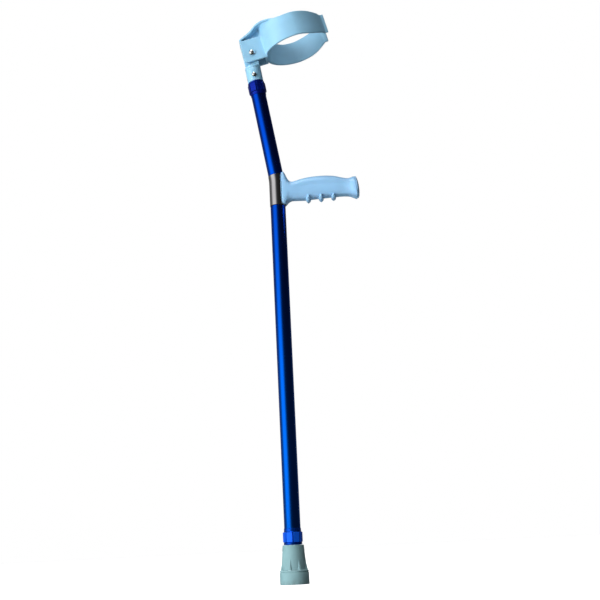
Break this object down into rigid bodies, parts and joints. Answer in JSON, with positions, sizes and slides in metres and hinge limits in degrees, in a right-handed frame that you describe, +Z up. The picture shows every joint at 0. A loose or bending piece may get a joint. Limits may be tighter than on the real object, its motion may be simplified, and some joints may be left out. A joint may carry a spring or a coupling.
{
  "type": "forearm crutch",
  "caption": "Telescopic forearm crutch with a bent tube, a moulded hand grip, an open hinged forearm cuff, sprung height locks, clamp collars and a rubber ferrule.",
  "frame": {"origin": "middle of the ferrule's base, on the floor", "axes": "+Z up the straight shaft, +X the way the hand grip points, so the locking holes are on the +Y side"},
  "size_m": [0.1897, 0.1096, 0.9396],
  "materials": {
    "anodised_blue": "glossy anodised",
    "inner_aluminium": "satin natural",
    "collar_blue": "glossy moulded",
    "cuff_plastic": "semi-gloss moulded",
    "grip_plastic": "semi-gloss moulded",
    "rubber_grey": "matte moulded",
    "polished_steel": "polished",
    "fastener_steel": "nickel plated",
    "nylon": "natural nylon",
    "spring_steel": "rolled"
  },
  "bodies": {
    "leg": {"ferrule": "rubber_grey", "ferrule_washer": "fastener_steel", "leg_tube": "inner_aluminium", "leg_tube_plug": "nylon", "leg_spring_clip": "spring_steel"},
    "leg_button": {"leg_button": "fastener_steel"},
    "shaft": {"main_tube": "anodised_blue", "lower_bush": "nylon", "upper_bush": "nylon", "handle_strap": "polished_steel", "strap_rivet_lower": "fastener_steel", "strap_rivet_upper": "fastener_steel", "handle_core": "fastener_steel", "grip": "grip_plastic", "grip_washer": "fastener_steel", "grip_screw": "fastener_steel", "grip_end_cap": "grip_plastic"},
    "leg_lock_collar": {"leg_lock_collar": "collar_blue"},
    "cuff_lock_collar": {"cuff_lock_collar": "collar_blue"},
    "cuff_post": {"cuff_tube": "inner_aluminium", "cuff_tube_plug": "nylon", "cuff_spring_clip": "spring_steel", "arm_stem": "cuff_plastic", "stem_screw": "fastener_steel", "stem_nut": "fastener_steel"},
    "cuff_button": {"cuff_button": "fastener_steel"},
    "cuff": {"cuff": "cuff_plastic", "cuff_pivot_bolt": "fastener_steel", "cuff_pivot_nut": "fastener_steel", "cuff_pivot_washer_left": "nylon", "cuff_pivot_washer_right": "nylon"}
  },
  "joints": [
    {"name": "leg_length", "type": "slide", "parent": "leg", "child": "shaft", "axis": [0, 0, 1], "range_m": [0, 0.3]},
    {"name": "leg_button_press", "type": "slide", "parent": "leg", "child": "leg_button", "axis": [0, -1, 0], "range_m": [0, 0.0036], "stiffness_N_per_m": 1500, "springref_m": -0.002, "deforming": ["leg_spring_clip"]},
    {"name": "leg_collar_turn", "type": "hinge", "parent": "shaft", "child": "leg_lock_collar", "pos_m": [0, 0, 0.072], "axis": [0, 0, 1], "range_deg": [0, 120]},
    {"name": "cuff_height", "type": "slide", "parent": "shaft", "child": "cuff_post", "axis": [-0.1564, 0, 0.9877], "range_m": [0, 0.075]},
    {"name": "cuff_button_press", "type": "slide", "parent": "cuff_post", "child": "cuff_button", "axis": [0, -1, 0], "range_m": [0, 0.0036], "stiffness_N_per_m": 1500, "springref_m": -0.002, "deforming": ["cuff_spring_clip"]},
    {"name": "cuff_collar_turn", "type": "hinge", "parent": "shaft", "child": "cuff_lock_collar", "pos_m": [-0.02736, 0, 0.81976], "axis": [-0.1564, 0, 0.9877], "range_deg": [0, 120]},
    {"name": "cuff_pivot", "type": "hinge", "parent": "cuff_post", "child": "cuff", "pos_m": [-0.03235, 0, 0.87557], "axis": [0, 1, 0], "range_deg": [-28, 12]}
  ]
}
